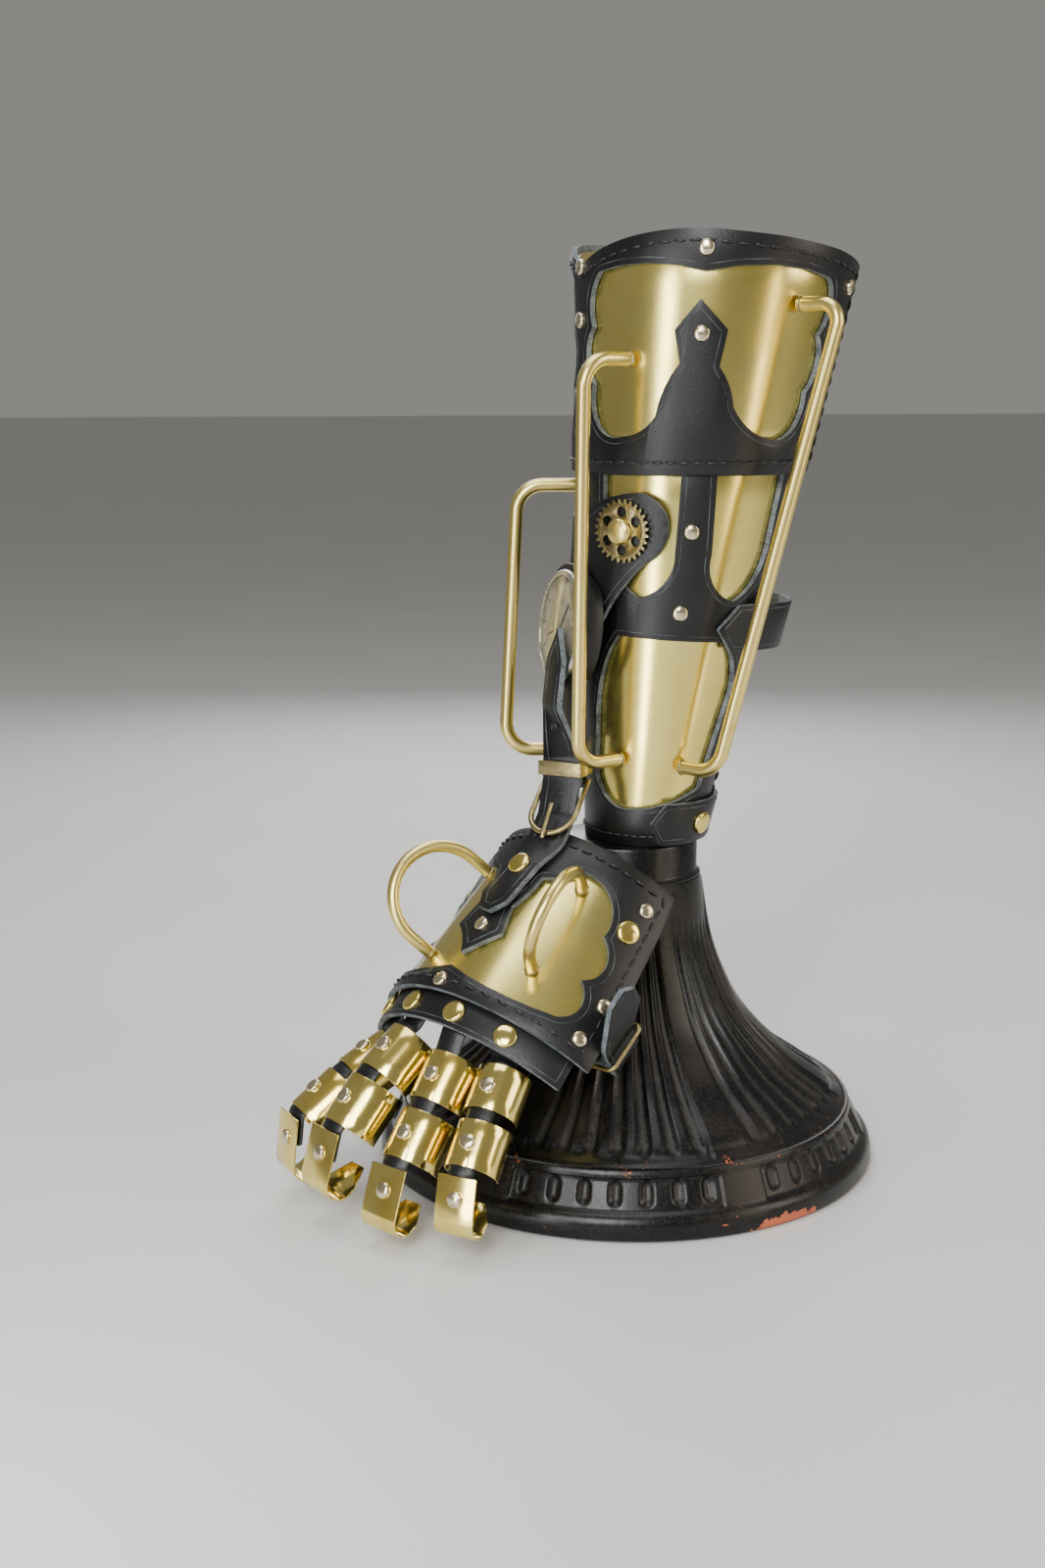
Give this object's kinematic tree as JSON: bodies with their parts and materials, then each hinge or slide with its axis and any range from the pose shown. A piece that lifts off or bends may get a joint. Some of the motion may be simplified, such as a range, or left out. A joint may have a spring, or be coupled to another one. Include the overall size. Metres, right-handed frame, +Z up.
{
  "type": "articulated gauntlet on a fluted display stand",
  "caption": "Leather and sheet brass gauntlet: an open forearm sleeve with bent tubes and a dial, a bent hand guard and riveted finger splints, stored on a fluted bell-shaped stand.",
  "frame": {"origin": "middle of the stand's flat underside", "axes": "+Z up along the stand's axis; the back of the forearm faces -X, and the fingers point towards -X and a little towards -Y; +X is the open palm side"},
  "size_m": [0.2793, 0.227, 0.41],
  "materials": {
    "antique_brass": "antique brass",
    "brass": "satin sheet brass, brushed",
    "bronze": "black-bronze casting, rubbed through to copper on its rims",
    "dial_face": "worn pale dial",
    "leather": "black bridle leather, semi-gloss",
    "polished_brass": "polished sheet brass",
    "silver": "silver-coloured bezel",
    "tube_brass": "satin brass tube"
  },
  "bodies": {
    "root": {"buckle_frame": "antique_brass", "buckle_prong": "antique_brass", "buckle_tab": "leather", "cuff_leather": "leather", "cuff_plate": "brass", "dial_bezel": "silver", "dial_carrier": "leather", "dial_face": "dial_face", "dial_ring": "leather", "forearm_leather": "leather", "forearm_plate": "brass", "forearm_strap": "leather", "gear": "antique_brass", "gear_stud": "antique_brass", "hand_leather": "leather", "hand_loop_far": "tube_brass", "hand_loop_near": "tube_brass", "hand_plate": "brass", "hand_strap": "leather", "index_ring_first": "polished_brass", "index_ring_second": "polished_brass", "index_tip": "polished_brass", "knuckle_band": "leather", "little_ring_first": "polished_brass", "little_ring_second": "polished_brass", "little_tip": "polished_brass", "middle_ring_first": "polished_brass", "middle_ring_second": "polished_brass", "middle_tip": "polished_brass", "palm_buckle": "antique_brass", "palm_strap": "leather", "palm_tab": "leather", "stand": "bronze", "strap_index": "leather", "strap_keeper": "antique_brass", "strap_little": "leather", "strap_middle": "leather", "strap_third": "leather", "third_ring_first": "polished_brass", "third_ring_second": "polished_brass", "third_tip": "polished_brass", "tube_back_far": "tube_brass", "tube_back_near": "tube_brass", "tube_side_far": "tube_brass", "tube_side_near": "tube_brass", "wrist_strap": "leather"}
  },
  "joints": []
}
